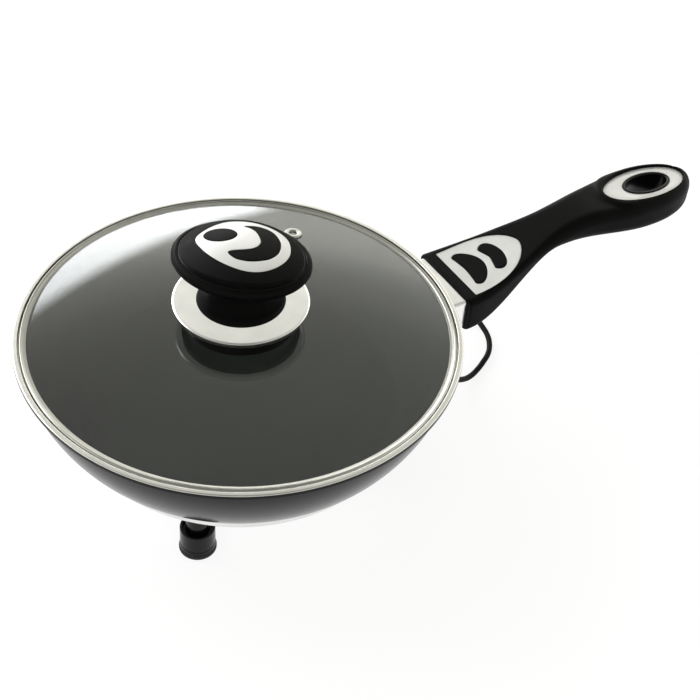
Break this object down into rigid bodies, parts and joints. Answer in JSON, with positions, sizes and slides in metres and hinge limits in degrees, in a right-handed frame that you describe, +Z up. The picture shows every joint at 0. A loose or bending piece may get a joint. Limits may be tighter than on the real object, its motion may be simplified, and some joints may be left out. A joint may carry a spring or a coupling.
{
  "type": "electric skillet",
  "caption": "Electric skillet: round coated pan on feet, long black handle with bright inlays, lift-off glass lid with a knob, and a fixed mains cord.",
  "frame": {"origin": "on the table, under the middle of the pan and handle taken together (the cord isn't counted)", "axes": "+Z up, +X along the handle from the pan to the handle's tip, +Y to the left of the handle"},
  "size_m": [0.4459, 0.2901, 0.1453],
  "materials": {
    "pan_coating": "die casting with graphite enamel outside and non-stick coating inside",
    "base_sheet": "bright pressed sheet",
    "bracket_steel": "plain zinc-plated steel",
    "bright_trim": "satin to bright polish",
    "fastener_steel": "zinc-plated",
    "element_tube": "heat-tinted nickel alloy",
    "grip_black": "soft black heat-proof moulding",
    "gloss_black": "glossy black moulding",
    "pad_rubber": "black rubber",
    "cord_black": "black flexible cord sheath",
    "lid_glass": "clear toughened glass",
    "brass": "plain brass",
    "ceramic_white": "unglazed white",
    "fuse_metal": "lacquered",
    "lead_sleeve": "braided glass sleeving",
    "washer_silicone": "white silicone"
  },
  "bodies": {
    "skillet": {"pan_body": "pan_coating", "base_cover": "base_sheet", "cover_screws": "fastener_steel", "heating_element": "element_tube", "thermostat": "ceramic_white", "thermal_fuse": "fuse_metal", "terminal_block": "ceramic_white", "supply_leads": "lead_sleeve", "element_leads": "lead_sleeve", "terminal_housing": "gloss_black", "housing_screws": "fastener_steel", "foot_front_left": "gloss_black", "foot_front_right": "gloss_black", "foot_rear_left": "gloss_black", "foot_rear_right": "gloss_black", "pad_front_left": "pad_rubber", "pad_front_right": "pad_rubber", "pad_rear_left": "pad_rubber", "pad_rear_right": "pad_rubber", "foot_screws": "fastener_steel", "foot_nuts": "fastener_steel", "handle_bracket": "bracket_steel", "ferrule": "bright_trim", "handle_body": "grip_black", "handle_screw": "fastener_steel", "front_inlay": "bright_trim", "rear_inlay": "bright_trim", "hanging_sleeve": "gloss_black", "strain_relief": "cord_black", "cord": "cord_black", "cord_coil": "cord_black", "cord_tie": "cord_black", "plug_relief": "cord_black", "plug_body": "cord_black", "plug_blades": "brass"},
    "lid": {"lid_glass": "lid_glass", "lid_band": "bright_trim", "steam_vent": "bright_trim", "knob_seat": "gloss_black", "knob_disc": "bright_trim", "knob_neck": "gloss_black", "knob_grip": "grip_black", "knob_cap": "grip_black", "knob_inlay": "bright_trim", "knob_insert": "brass", "knob_washer": "washer_silicone", "knob_screw": "fastener_steel"}
  },
  "joints": [
    {"name": "lid_lift", "type": "slide", "parent": "skillet", "child": "lid", "axis": [0, 0, 1], "range_m": [0, 0.15]}
  ]
}
